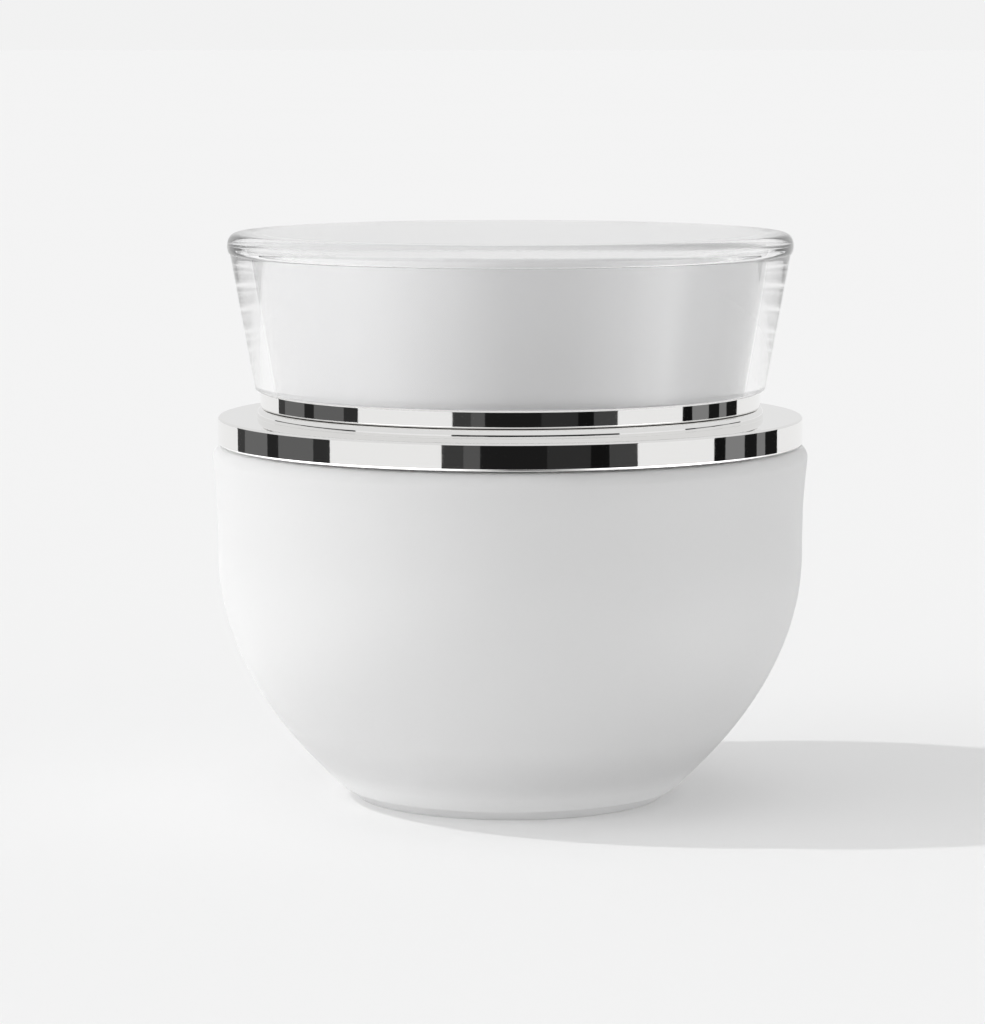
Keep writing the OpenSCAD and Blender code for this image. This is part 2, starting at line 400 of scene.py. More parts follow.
def worked(operation, *values):
    """The number that a Math node makes of numbers and plain values."""
    tree = next(v for v in values if isinstance(v, Number)).socket.id_data
    return Number(add(tree, "ShaderNodeMath", dict(enumerate(values)), operation=operation).outputs[0])


class Number:
    """A number in a node tree. Each +, -, * or / on it makes a Math node."""

    def __init__(self, socket):
        self.socket = socket

    def __add__(self, other):
        return worked("ADD", self, other)

    def __sub__(self, other):
        return worked("SUBTRACT", self, other)

    def __rsub__(self, other):
        return worked("SUBTRACT", other, self)

    def __mul__(self, other):
        return worked("MULTIPLY", self, other)

    def __truediv__(self, other):
        return worked("DIVIDE", self, other)

    def __rtruediv__(self, other):
        return worked("DIVIDE", other, self)


def blend(tree, factor, first, second):
    """The colour between two colours or colour sockets."""
    return add(tree, "ShaderNodeMix", {0: factor, 6: first, 7: second}, data_type="RGBA").outputs[2]


def geometry_tree(name, numbers, counts):
    """A geometry tree with its output, its input numbers by name, and its input geometry and material."""
    tree, given, outputs = new_tree(name, "GeometryNodeTree", {
        "Geometry": "Geometry", **dict.fromkeys(numbers, "Float"), **dict.fromkeys(counts, "Int"),
        "Material": "Material",
    }, {"Geometry": "Geometry"})
    return tree, outputs, {name: Number(given[name]) for name in [*numbers, *counts]}, given


def grid_of(tree, columns, rows):
    """A grid to be bent into shape, with the number of each point's column and row."""
    grid = add(tree, "GeometryNodeMeshGrid", {"Vertices X": columns, "Vertices Y": rows})
    index = Number(add(tree, "GeometryNodeInputIndex").outputs[0])
    column = worked("FLOOR", (index + 0.5) / rows)
    return grid.outputs["Mesh"], column, index - column * rows


def polar(tree, geometry, radius, angle, height, merge=0.002 * MM):
    """The geometry with its points put at a radius, angle and height, and its seams and poles closed."""
    where = add(tree, "ShaderNodeCombineXYZ", {
        "X": radius * worked("COSINE", angle), "Y": radius * worked("SINE", angle), "Z": height,
    })
    moved = add(tree, "GeometryNodeSetPosition", {"Geometry": geometry, "Position": where.outputs[0]})
    merged = add(tree, "GeometryNodeMergeByDistance", {"Geometry": moved.outputs[0], "Distance": merge})
    return merged.outputs[0]


def ending(tree, outputs, geometry, material):
    """Ends a geometry tree in Realize Instances and Set Material."""
    real = add(tree, "GeometryNodeRealizeInstances", {"Geometry": geometry})
    painted = add(tree, "GeometryNodeSetMaterial", {"Geometry": real.outputs[0], "Material": material})
    tree.links.new(painted.outputs[0], outputs["Geometry"])


def ringed(tree, outputs, given, instance, count):
    """Ends a tree with the given geometry joined to copies of another, spread evenly round the axis."""
    points = add(tree, "GeometryNodePoints", {"Count": count}).outputs[0]
    index = Number(add(tree, "GeometryNodeInputIndex").outputs[0])
    spin = add(tree, "ShaderNodeCombineXYZ", {"Z": index * (2 * math.pi / count)}).outputs[0]
    copies = add(tree, "GeometryNodeInstanceOnPoints", {
        "Points": points, "Instance": instance, "Rotation": spin,
    })
    joined = add(tree, "GeometryNodeJoinGeometry")
    for part in (given["Geometry"], copies.outputs[0]):
        tree.links.new(part, joined.inputs[0])
    ending(tree, outputs, joined.outputs[0], given["Material"])


def turned_bowl_tree():
    """Turns a section round the axis. A point with a drop above 0 has its radius drawn in below the
    belly, along an oval of that half height."""
    tree, outputs, n, given = geometry_tree("Turned bowl", ["Belly Height", "Roundness"], ["Segments"])
    section = given["Geometry"]
    count = add(tree, "GeometryNodeAttributeDomainSize", {"Geometry": section}).outputs["Point Count"]
    grid, column, row = grid_of(tree, n["Segments"] + 1.0, Number(count))
    position = add(tree, "GeometryNodeInputPosition").outputs[0]
    drops = add(tree, "GeometryNodeInputNamedAttribute", {"Name": "drop"}, data_type="FLOAT").outputs[0]
    point, drop = [
        add(tree, "GeometryNodeSampleIndex", {"Geometry": section, "Value": value, "Index": row},
            data_type=kind).outputs[0]
        for value, kind in ((position, "FLOAT_VECTOR"), (drops, "FLOAT"))
    ]
    parts = add(tree, "ShaderNodeSeparateXYZ", {"Vector": point}).outputs
    radius, height, drop = Number(parts["X"]), Number(parts["Z"]), Number(drop)
    depth = worked("MAXIMUM", n["Belly Height"] - height, 0.0) / worked("MAXIMUM", drop, NO_DROP)
    drawn_in = worked("POWER", worked("MAXIMUM", 1.0 - depth * depth, 0.0), 1.0 / n["Roundness"])
    follows = worked("GREATER_THAN", drop, NO_DROP)
    factor = follows * drawn_in + (1.0 - follows)
    shell = polar(tree, grid, radius * factor, column * (2 * math.pi / n["Segments"]), height)
    ending(tree, outputs, shell, given["Material"])
    return tree


def screw_thread_tree(steps=96, fade=10.0):
    """Joins thread starts to a turned piece. Each start is a trapezium carried up a helix, drawn to a
    point at its ends."""
    tree, outputs, n, given = geometry_tree("Screw thread", [
        "Root Radius", "Crest Radius", "Lead", "Lower End", "Root Height", "Crest Height", "Sweep", "Turn",
    ], ["Starts"])
    grid, column, row = grid_of(tree, steps + 1, 5)  # a section's 4 corners, with the first again at the end
    at_crest = worked("COMPARE", row, 1.5, 0.6)  # rows 1 and 2 are the crest's corners
    side = worked("COMPARE", row, 2.5, 0.6) * 2.0 - 1.0  # 1 at rows 2 and 3, the upper corners, and -1 below
    from_end = worked("MINIMUM", column, float(steps) - column)
    grown = worked("SINE", worked("MINIMUM", from_end / fade, 1.0) * (math.pi / 2))
    radius = n["Root Radius"] + at_crest * (n["Crest Radius"] - n["Root Radius"]) * grown
    tall = n["Root Height"] + at_crest * (n["Crest Height"] - n["Root Height"])
    swept = column * (n["Sweep"] / float(steps))
    height = n["Lower End"] + swept * (n["Lead"] / (2 * math.pi)) + side * (tall * 0.5) * grown
    start = polar(tree, grid, radius, swept + n["Turn"], height)
    ringed(tree, outputs, given, start, n["Starts"])
    return tree


def spacer_ribs_tree():
    """Joins a ring of upright radial ribs to a turned piece."""
    tree, outputs, n, given = geometry_tree(
        "Spacer ribs", ["Inner Radius", "Outer Radius", "Thickness", "Foot", "Top"], ["Ribs"])
    size = add(tree, "ShaderNodeCombineXYZ", {
        "X": n["Outer Radius"] - n["Inner Radius"], "Y": n["Thickness"], "Z": n["Top"] - n["Foot"],
    }).outputs[0]
    middle = add(tree, "ShaderNodeCombineXYZ", {
        "X": (n["Outer Radius"] + n["Inner Radius"]) * 0.5, "Z": (n["Top"] + n["Foot"]) * 0.5,
    }).outputs[0]
    plate = add(tree, "GeometryNodeMeshCube", {"Size": size})
    rib = add(tree, "GeometryNodeTransform", {"Geometry": plate.outputs[0], "Translation": middle}).outputs[0]
    ringed(tree, outputs, given, rib, n["Ribs"])
    return tree


def grow(piece, tree, values):
    """Gives a piece a geometry tree, with its inputs set by name."""
    modifier = piece.modifiers.new(tree.name, "NODES")
    modifier.node_group = tree
    found = {item.name: item.identifier for item in tree.interface.items_tree if item.in_out == "INPUT"}
    for name, value in values.items():
        modifier[found[name]] = value


def renew_normals(bm, mesh):
    """Turns all faces outwards, writes them to the mesh, frees the BMesh and shades the mesh smooth."""
    bmesh.ops.recalc_face_normals(bm, faces=bm.faces)
    bm.to_mesh(mesh)
    bm.free()
    mesh.shade_smooth()
    mesh.set_sharp_from_angle(angle=SHARP_ANGLE)  # leaves a crease at each real corner


def bake_down(piece):
    """Replaces a piece's mesh by what its geometry trees make, and removes them."""
    graph = bpy.context.evaluated_depsgraph_get()
    mesh = bpy.data.meshes.new_from_object(piece.evaluated_get(graph))
    if not mesh.polygons:
        raise RuntimeError(f"{piece.name}: its geometry tree made nothing")
    used = [m for m in mesh.materials if m is not None]
    mesh.materials.clear()
    mesh.materials.append(used[-1])
    mesh.polygons.foreach_set("material_index", [0] * len(mesh.polygons))
    piece.modifiers.clear()
    piece.data = mesh
    bm = bmesh.new()
    bm.from_mesh(mesh)
    renew_normals(bm, mesh)


# ---------------------------------------------------------------- finishes


def shader_group(name, make, inputs, outputs):
    """The shader group of a name, made on first use."""
    if name not in bpy.data.node_groups:
        make(*new_tree(name, "ShaderNodeTree", inputs, outputs))
    return bpy.data.node_groups[name]


def make_moulding_grain(tree, given, outputs):
    """Fills the group for fine grain and slow drift of a moulded surface."""
    grain, drift = [
        add(tree, "ShaderNodeTexNoise", {
            "Vector": given["Vector"], "Scale": given[scale], "Detail": detail, "Roughness": rough,
        }).outputs["Fac"]
        for scale, detail, rough in (("Grain Scale", 2.0, 0.55), ("Drift Scale", 3.0, 0.5))
    ]
    both = Number(grain) * 0.4 + Number(drift) * 0.6
    rough = add(tree, "ShaderNodeMapRange", {
        "Value": both, "From Min": 0.3, "From Max": 0.7, "To Min": given["Smooth"], "To Max": given["Rough"],
    })
    tree.links.new(blend(tree, drift, given["Tint"], given["Shade"]), outputs["Color"])
    tree.links.new(rough.outputs["Result"], outputs["Roughness"])
    tree.links.new(grain, outputs["Height"])


def moulding_grain():
    """Shader group: a moulded surface's colour, roughness and height."""
    return shader_group("Moulding grain", make_moulding_grain, {
        "Vector": "Vector", "Grain Scale": "Float", "Drift Scale": "Float", "Tint": "Color", "Shade": "Color",
        "Smooth": "Float", "Rough": "Float",
    }, {"Color": "Color", "Roughness": "Float", "Height": "Float"})


def make_painted_base_light(tree, given, outputs):
    """Fills the group for the bowl's painted base light: a painted glow low down and a painted shade band
    above it.
    """
    height = Number(add(tree, "ShaderNodeSeparateXYZ", {"Vector": given["Vector"]}).outputs["Z"])
    # painted shade: a band made darker around the shade height
    away = (height - given["Shade Height"]) / given["Shade Reach"]
    painted_shade_band = worked("POWER", math.e, away * away * -1.0)
    # painted glow: emission that fades out above the glow height
    low = add(tree, "ShaderNodeMapRange", {
        "Value": height, "From Min": given["Glow Height"], "From Max": given["Foot Height"],
        "To Min": 0.0, "To Max": 1.0,
    }, interpolation_type="SMOOTHSTEP")
    glow = blend(tree, low.outputs["Result"], (0.0, 0.0, 0.0, 1.0), given["Glow"])
    tree.links.new(blend(tree, painted_shade_band, given["Color"], given["Shade"]), outputs["Color"])
    tree.links.new(glow, outputs["Glow"])


def painted_base_light():
    """Shader group: a painted glow low in a thick clear base, in place of light gathered there, and a painted
    shade band by height above it, in place of the shadow of the cup's foot.
    """
    return shader_group("Thick base", make_painted_base_light, {
        "Vector": "Vector", "Color": "Color", "Shade": "Color", "Glow": "Color", "Shade Height": "Float",
        "Shade Reach": "Float", "Glow Height": "Float", "Foot Height": "Float",
    }, {"Color": "Color", "Glow": "Color"})


def make_foam_cells(tree, given, outputs):
    """Fills the group for the closed cells of a foam wad."""
    cells = add(tree, "ShaderNodeTexVoronoi", {"Vector": given["Vector"], "Scale": given["Cell Scale"]},
                feature="F1")
    dome = 1.0 - Number(cells.outputs["Distance"])
    tree.links.new(dome.socket, outputs["Height"])


def foam_cells():
    """Shader group: the height of a foam wad's skin."""
    inputs = {"Vector": "Vector", "Cell Scale": "Float"}
    return shader_group("Foam cells", make_foam_cells, inputs, {"Height": "Float"})


def shaded(colour, darker):
    """A colour made darker by a share, with an alpha of 1."""
    return tuple(c * (1 - darker) for c in colour) + (1.0,)


def use_group(tree, group, values):
    """A shader group's outputs, fed with values and with the surface's place on the piece."""
    where = add(tree, "ShaderNodeTexCoord").outputs["Object"]
    return add(tree, "ShaderNodeGroup", {"Vector": where, **values}, node_tree=group).outputs


def roughen(tree, shader, height, distance, effect=1.0):
    """Gives a shader a bump of a depth in millimetres."""
    relief = add(tree, "ShaderNodeBump", {"Strength": effect, "Distance": distance * MM, "Height": height})
    tree.links.new(relief.outputs[0], shader.inputs["Normal"])


def grained(name, colour, smooth_rough, grain=3000.0, drift=60.0, shade=0.02, bump=0.0, **constants):
    """A moulded finish: the grain group drives its colour, roughness and a fine bump."""
    material = bpy.data.materials.new(name)
    material.use_nodes = True
    tree = material.node_tree
    shader = tree.nodes["Principled BSDF"]
    for socket, value in constants.items():
        shader.inputs[socket.replace("_", " ")].default_value = value
    made = use_group(tree, moulding_grain(), {
        "Grain Scale": grain, "Drift Scale": drift, "Tint": shaded(colour, 0.0),
        "Shade": shaded(colour, shade), "Smooth": smooth_rough[0], "Rough": smooth_rough[1],
    })
    if shade:
        tree.links.new(made["Color"], shader.inputs["Base Color"])
    else:
        shader.inputs["Base Color"].default_value = shaded(colour, 0.0)
    tree.links.new(made["Roughness"], shader.inputs["Roughness"])
    if bump:
        roughen(tree, shader, made["Height"], bump)
    return material


def frosted_acrylic(finish):
    """Etched thick acrylic: light goes in and comes out softened. Its base gets a painted glow and a painted
    shade band by height.
    """
    rough = finish.frosted_roughness
    material = grained(
        "frosted_acrylic", finish.frosted, (rough - 0.04, rough + 0.04), grain=5200.0, drift=35.0,
        shade=0.015, bump=0.006, Transmission_Weight=finish.frosted_clearness, IOR=1.49,
        Specular_IOR_Level=0.2, Subsurface_Weight=0.85, Subsurface_Scale=0.012,
        # the emission carries the painted glow of the base, set by the group below
        Subsurface_Radius=(1.0, 1.0, 1.0), Emission_Strength=1.0,
    )
    tree = material.node_tree
    shader = tree.nodes["Principled BSDF"]
    # painted light at the base: a painted glow low down and a painted shade band above it
    made = use_group(tree, painted_base_light(), {
        "Color": shader.inputs["Base Color"].links[0].from_socket,
        "Shade": shaded(finish.frosted, finish.painted_base_shade), "Glow": (finish.painted_base_glow,) * 3 + (1.0,),
        "Shade Height": finish.shade_height, "Shade Reach": finish.shade_reach,
        "Glow Height": finish.glow_height, "Foot Height": bpy.context.scene.cream_jar.bowl.foot_height,
    })
    tree.links.new(made["Color"], shader.inputs["Base Color"])
    tree.links.new(made["Glow"], shader.inputs["Emission Color"])
    return material


def clear_acrylic(finish):
    """Polished clear acrylic."""
    return grained(
        "clear_acrylic", finish.clear, (0.0, 0.008), grain=60.0, drift=40.0, shade=0.0,
        Transmission_Weight=1.0, IOR=1.49,
    )


def pearl_white(finish):
    """White with a pearly gloss coat."""
    return grained(
        "pearl_white", finish.pearl, (0.30, 0.38), grain=9000.0, drift=45.0, shade=0.02, bump=0.001,
        Coat_Weight=1.0, Coat_Roughness=0.16, Sheen_Weight=0.1, Sheen_Roughness=0.4,
    )


def mirror_metallised(finish):
    """Vacuum-metallised plastic: a mirror with a very slight ripple."""
    return grained(
        "mirror_metallised", finish.mirror, (0.015, 0.05), grain=900.0, drift=90.0, shade=0.03,
        bump=0.0008, Metallic=1.0,
    )


def white_pp(finish):
    """Satin white polypropylene."""
    return grained(
        "white_pp", finish.satin, (0.34, 0.44), grain=4000.0, shade=0.02, bump=0.003,
        Subsurface_Weight=0.08, Subsurface_Scale=0.002,
    )


def natural_pp(finish):
    """Milky natural polypropylene."""
    return grained(
        "natural_pp", finish.natural, (0.28, 0.36), grain=4000.0, shade=0.02, bump=0.003,
        Transmission_Weight=0.25, IOR=1.49,
    )


def foam_wad(finish):
    """Foamed polyethylene with a cellular skin."""
    material = grained("foam_wad", finish.foam, (0.7, 0.85), grain=2500.0, shade=0.04)
    tree = material.node_tree
    cells = use_group(tree, foam_cells(), {"Cell Scale": 1600.0})
    roughen(tree, tree.nodes["Principled BSDF"], cells["Height"], 0.08, 0.8)
    return material


def finish_of(slot):
    """The material of a slot, made on first use."""
    makers = {
        "frosted_acrylic": frosted_acrylic, "clear_acrylic": clear_acrylic, "pearl_white": pearl_white,
        "mirror_metallised": mirror_metallised, "white_pp": white_pp, "natural_pp": natural_pp,
        "foam_wad": foam_wad,
    }
    name = slot + "_finish"
    if name not in bpy.data.materials:
        makers[slot](bpy.context.scene.cream_jar.finish).name = name
    return bpy.data.materials[name]


# ---------------------------------------------------------------- pieces


def oval_side(first, last, radius, drop, steps=44):
    """Section points between two heights, each with the radius at the belly and its drop."""
    return [(radius, first + (last - first) * i / steps, drop) for i in range(steps + 1)]


class JAR_OT_frosted_bowl(bpy.types.Operator):
    """Build the frosted outer bowl"""

    bl_idname = "jar.frosted_bowl"
    bl_label = "Frosted Bowl"

    def execute(self, context):
        bowl = context.scene.cream_jar.bowl
        b = sizes(bowl)
        inner_r = b.belly_radius - b.wall

        def drawn_in(radius, z, drop):
            return radius * (1 - ((b.belly_height - z) / drop) ** 2) ** (1 / b.roundness)

        side_foot_r = drawn_in(b.belly_radius, b.foot_height, b.outer_drop)
        side_next = (drawn_in(b.belly_radius, b.foot_height + 0.6, b.outer_drop), b.foot_height + 0.6)
        floor_r = drawn_in(inner_r, b.base, b.inner_drop)
        swell = b.shoulder_radius - b.belly_radius
        shoulder = []
        for i in range(17):
            t = i / 16
            shoulder.append((b.belly_radius + swell * t * t,
                             b.swell_start + (b.shoulder_height - b.swell_start) * t))
        foot = rounded([
            (0.0, b.recess_depth), (b.recess_radius, b.recess_depth, 0.2),
            (b.recess_radius + b.recess_depth, 0.0, 0.15), (b.foot_radius - 0.1, 0.0, 0.35),
            (b.foot_radius + 0.3, b.foot_height, 0.3), (side_foot_r, b.foot_height, 0.3), side_next,
        ])[:-1]
        top = arc(b.shoulder_radius - 1.2, b.shoulder_height, 1.2, b.height - b.shoulder_height, 6, 90, 12)
        rim = rounded([top[-1], (inner_r, b.height, 0.3), (inner_r, b.height - 2)])[1:-1]
        still = [(r, z, 0.0) for r, z in foot]
        section = still + oval_side(b.foot_height + 0.6, b.belly_height, b.belly_radius, b.outer_drop)
        section += [(r, z, 0.0) for r, z in shoulder + top + rim]
        section += oval_side(b.belly_height, b.base + 0.4, inner_r, b.inner_drop)
        section += [(floor_r - 0.4, b.base, 0.0), (floor_r - 0.8, b.base, 0.0), (0.0, b.base, 0.0)]
        mesh = bpy.data.meshes.new("bowl_section")
        edges = [(i, i + 1) for i in range(len(section) - 1)]
        mesh.from_pydata([(r * MM, 0.0, z * MM) for r, z, _ in section], edges, [])
        drops = mesh.attributes.new("drop", "FLOAT", "POINT")
        drops.data.foreach_set("value", [drop * MM for _, _, drop in section])
        piece = place("frosted_bowl", mesh)
        grow(piece, turned_bowl_tree(), {
            "Belly Height": bowl.belly_height, "Roundness": bowl.roundness,
            "Segments": TURN_SEGMENTS, "Material": finish_of("frosted_acrylic"),
        })
        bake_down(piece)
        settle(piece, "pot", "outer_bowl")
        return {"FINISHED"}


def thread_values(thread, root, crest, turn, material):
    """Input values of the screw thread tree."""
    return {
        "Root Radius": root * MM, "Crest Radius": crest * MM, "Lead": thread.lead,
        "Lower End": thread.lower_end, "Root Height": thread.root_height,
        "Crest Height": thread.crest_height, "Sweep": thread.sweep, "Turn": turn,
        "Starts": thread.starts, "Material": material,
    }


class JAR_OT_inner_cup(bpy.types.Operator):
    """Build the white inner cup with its threaded neck"""

    bl_idname = "jar.inner_cup"
    bl_label = "Inner Cup"

    def execute(self, context):
        jar = context.scene.cream_jar
        c, t, b = sizes(jar.cup), sizes(jar.thread), sizes(jar.bowl)
        foot_r, bore_r = c.neck_radius - 1.5, c.neck_radius - c.wall
        foot_z = c.bottom + c.round
        profile = rounded(
            [(0.0, c.bottom)]
            + arc(foot_r - c.round, foot_z, c.round, c.round, -90, 0, 16)
            + [
                (c.neck_radius, b.height, 0.3), (c.flange_radius, b.height, 0.2),
                (c.flange_radius, b.height + c.flange_thickness, 0.2),
                (c.neck_radius, b.height + c.flange_thickness, 0.3),
                (c.neck_radius, c.rim_height, 0.45), (bore_r, c.rim_height, 0.45),
            ]
            + arc(foot_r - c.round, foot_z, c.round - c.wall, c.round - c.wall, 0, -90, 16)
            + [(0.0, c.bottom + c.wall)]
        )
        piece = place("inner_cup_white", turned("inner_cup_white", profile))
        root, crest = c.neck_radius - t.embed, c.neck_radius + t.depth
        material = finish_of("white_pp")
        grow(piece, screw_thread_tree(), thread_values(jar.thread, root, crest, 0.0, material))
        bake_down(piece)
        settle(piece, "pot", "inner_cup")
        return {"FINISHED"}


class JAR_OT_mirror_rings(bpy.types.Operator):
    """Build the shoulder collar and the lid's trim ring"""

    bl_idname = "jar.mirror_rings"
    bl_label = "Mirror Rings"

    def execute(self, context):
        jar = context.scene.cream_jar
        r, c, lid = sizes(jar.rings), sizes(jar.cup), sizes(jar.lid)
        b = sizes(jar.bowl)
        plate_z = b.height + c.flange_thickness
        bore_r = c.neck_radius + 1.5
        skirt_r = r.collar_radius - 1.25
        land = arc(r.land_radius - r.land_round, r.collar_height + r.land_side, r.land_round,
                   r.land_height - r.collar_height - r.land_side, 0, 90, 12)
        collar = rounded(
            [
                (bore_r, plate_z, 0.1), (skirt_r, plate_z, 0.1), (skirt_r, r.collar_bottom, 0.1),
                (r.collar_radius, r.collar_bottom, 0.24), (r.collar_radius, r.collar_height, 0.26),
                (r.land_radius, r.collar_height, 0.05),
            ]
            + land
            + [(r.land_radius - r.land_round - 0.1, r.land_height), (bore_r, r.land_height, 0.2)]
        )
        top_r = lid.cap_foot_radius + lid.cap_slope * (r.trim_top - r.trim_bottom) + 0.1
        band_r = lid.cap_flange_radius + 0.1
        seat_z = r.trim_bottom + 0.85
        trim = rounded([
            (band_r, r.trim_bottom, 0.08), (r.trim_radius, r.trim_bottom, 0.18),
            (r.trim_radius, r.trim_top, 0.18), (top_r, r.trim_top, 0.12),
            (top_r, seat_z, 0.05), (band_r, seat_z, 0.05),
        ])
        material = finish_of("mirror_metallised")
        for name, profile, body, node in (
            ("shoulder_collar_mirror", collar, "pot", "shoulder_collar"),
            ("trim_ring_mirror", trim, "lid", "lid_trim_ring"),
        ):
            piece = place(name, turned(name, profile), material)
            settle(piece, body, node)
        return {"FINISHED"}


def tab_outline(width, reach, steps=20):
    """Outline of the pull tab: square at its root and round at its free end."""
    centre = reach / 2 - width / 2
    ends = [(-reach / 2, width / 2), (-reach / 2, -width / 2)]
    return ends + arc(centre, 0.0, width / 2, width / 2, -90, 90, steps)


class JAR_OT_sealing_disc(bpy.types.Operator):
    """Build the sealing disc with its pull tab"""

    bl_idname = "jar.sealing_disc"
    bl_label = "Sealing Disc"

    def execute(self, context):
        c = sizes(context.scene.cream_jar.cup)
        plug_r = c.neck_radius - c.wall - 0.35
        dish_z = c.disc_bottom + 0.7
        flange_z = c.disc_top - 0.6
        profile = rounded([
            (0.0, c.disc_bottom), (plug_r, c.disc_bottom, 0.35), (plug_r, flange_z, 0.1),
            (c.disc_radius, flange_z, 0.15), (c.disc_radius, c.disc_top, 0.2),
            (plug_r - 0.8, c.disc_top, 0.25), (plug_r - 1.1, dish_z, 0.25), (0.0, dish_z),
        ])
        mesh = turned("sealing_disc_natural", profile)
        bm = bmesh.new()
        bm.from_mesh(mesh)
        tab_z = dish_z + 0.25
        for outline, low, high in (
            (tab_outline(c.tab_width, c.tab_length), tab_z, tab_z + c.tab_thickness),
            ([(-c.tab_length / 2, c.tab_width / 2), (-c.tab_length / 2, -c.tab_width / 2),
              (-c.tab_length / 2 + 1.5, -c.tab_width / 2), (-c.tab_length / 2 + 1.5, c.tab_width / 2)],
             dish_z - 0.1, tab_z + 0.05),
        ):
            base = bm.faces.new([bm.verts.new((x * MM, y * MM, low * MM)) for x, y in outline])
            raised = bmesh.ops.extrude_face_region(bm, geom=[base])["geom"]
            verts = [g for g in raised if isinstance(g, bmesh.types.BMVert)]
            bmesh.ops.translate(bm, verts=verts, vec=(0.0, 0.0, (high - low) * MM))
            rims = [e for v in verts for e in v.link_edges if all(u in verts for u in e.verts)]
            bmesh.ops.bevel(bm, geom=list(dict.fromkeys(rims)), offset=0.09 * MM, segments=3,
                            affect="EDGES", profile=0.5)
        renew_normals(bm, mesh)
        piece = place("sealing_disc_natural", mesh, finish_of("natural_pp"))
        settle(piece, "seal", "sealing_disc")
        return {"FINISHED"}


class JAR_OT_liner(bpy.types.Operator):
    """Build the foam liner"""

    bl_idname = "jar.liner"
    bl_label = "Liner"

    def execute(self, context):
        c = sizes(context.scene.cream_jar.cup)
        press_r = c.neck_radius - c.wall / 2
        profile = rounded([
            (0.0, c.liner_bottom), (press_r - 0.9, c.liner_bottom, 0.3),
            (press_r - 0.7, c.liner_bottom + 0.06, 0.3), (press_r + 0.7, c.liner_bottom + 0.06, 0.3),
            (press_r + 0.9, c.liner_bottom, 0.2), (c.liner_radius, c.liner_bottom, 0.15),
            (c.liner_radius, c.liner_top, 0.2), (0.0, c.liner_top),
        ])
        piece = place("liner_foam", turned("liner_foam", profile), finish_of("foam_wad"))
        settle(piece, "lid_carrier", "liner")
        return {"FINISHED"}


def cap_radius(lid, z):
    """Outer radius of the pearl cap at a height, in millimetres."""
    return lid.cap_foot_radius + lid.cap_slope * (z - lid.cap_bottom)


class JAR_OT_clear_overcap(bpy.types.Operator):
    """Build the clear overcap"""

    bl_idname = "jar.clear_overcap"
    bl_label = "Clear Overcap"

    def execute(self, context):
        lid = sizes(context.scene.cream_jar.lid)
        top, inner_top = lid.overcap_top, lid.overcap_top - lid.clear_thickness
        lip_z = top - 1.35
        inner_foot_r = cap_radius(lid, lid.overcap_bottom) + lid.air_gap
        inner_top_r = cap_radius(lid, inner_top) + lid.air_gap
        lip = arc(lid.lip_radius - 0.35, lip_z, 0.35, 1.1, -90, 0, 10)
        lip += arc(lid.lip_radius - 1.2, lip_z, 1.2, top - lip_z, 6, 90, 18)
        profile = rounded(
            [(inner_foot_r, lid.overcap_bottom, 0.12), (lid.overcap_foot_radius, lid.overcap_bottom, 0.3)]
            + lip + [(lid.lip_radius - 1.5, top), (0.0, top), (0.0, inner_top)]
            + [(inner_top_r - 1.3, inner_top)]
            + arc(inner_top_r - 1, inner_top - 1, 1, 1, 90, 0, 10)
        )
        piece = place("overcap_clear", turned("overcap_clear", profile), finish_of("clear_acrylic"))
        piece.visible_shadow = False  # clear acrylic lets the key light through to the pearl cap
        settle(piece, "lid", "overcap")
        return {"FINISHED"}


class JAR_OT_pearl_cap(bpy.types.Operator):
    """Build the pearl white cap inside the overcap"""

    bl_idname = "jar.pearl_cap"
    bl_label = "Pearl Cap"

    def execute(self, context):
        lid = sizes(context.scene.cream_jar.lid)
        plate_z = lid.cap_top - lid.cap_plate
        flange_top = lid.cap_bottom + 0.8
        profile = rounded(
            [
                (cap_radius(lid, lid.cap_bottom) - lid.cap_wall, lid.cap_bottom, 0.1),
                (lid.cap_flange_radius, lid.cap_bottom, 0.12), (lid.cap_flange_radius, flange_top, 0.12),
                (cap_radius(lid, flange_top), flange_top, 0.1),
            ]
            + arc(cap_radius(lid, lid.cap_top) - 0.9, lid.cap_top - 0.9, 0.9, 0.9, 0, 90, 10)
            + [(cap_radius(lid, lid.cap_top) - 1.3, lid.cap_top), (0.0, lid.cap_top), (0.0, plate_z)]
            + [(cap_radius(lid, plate_z) - lid.cap_wall, plate_z, 0.5)]
        )
        piece = place("cap_pearl", turned("cap_pearl", profile), finish_of("pearl_white"))
        settle(piece, "lid", "inner_cap")
        return {"FINISHED"}


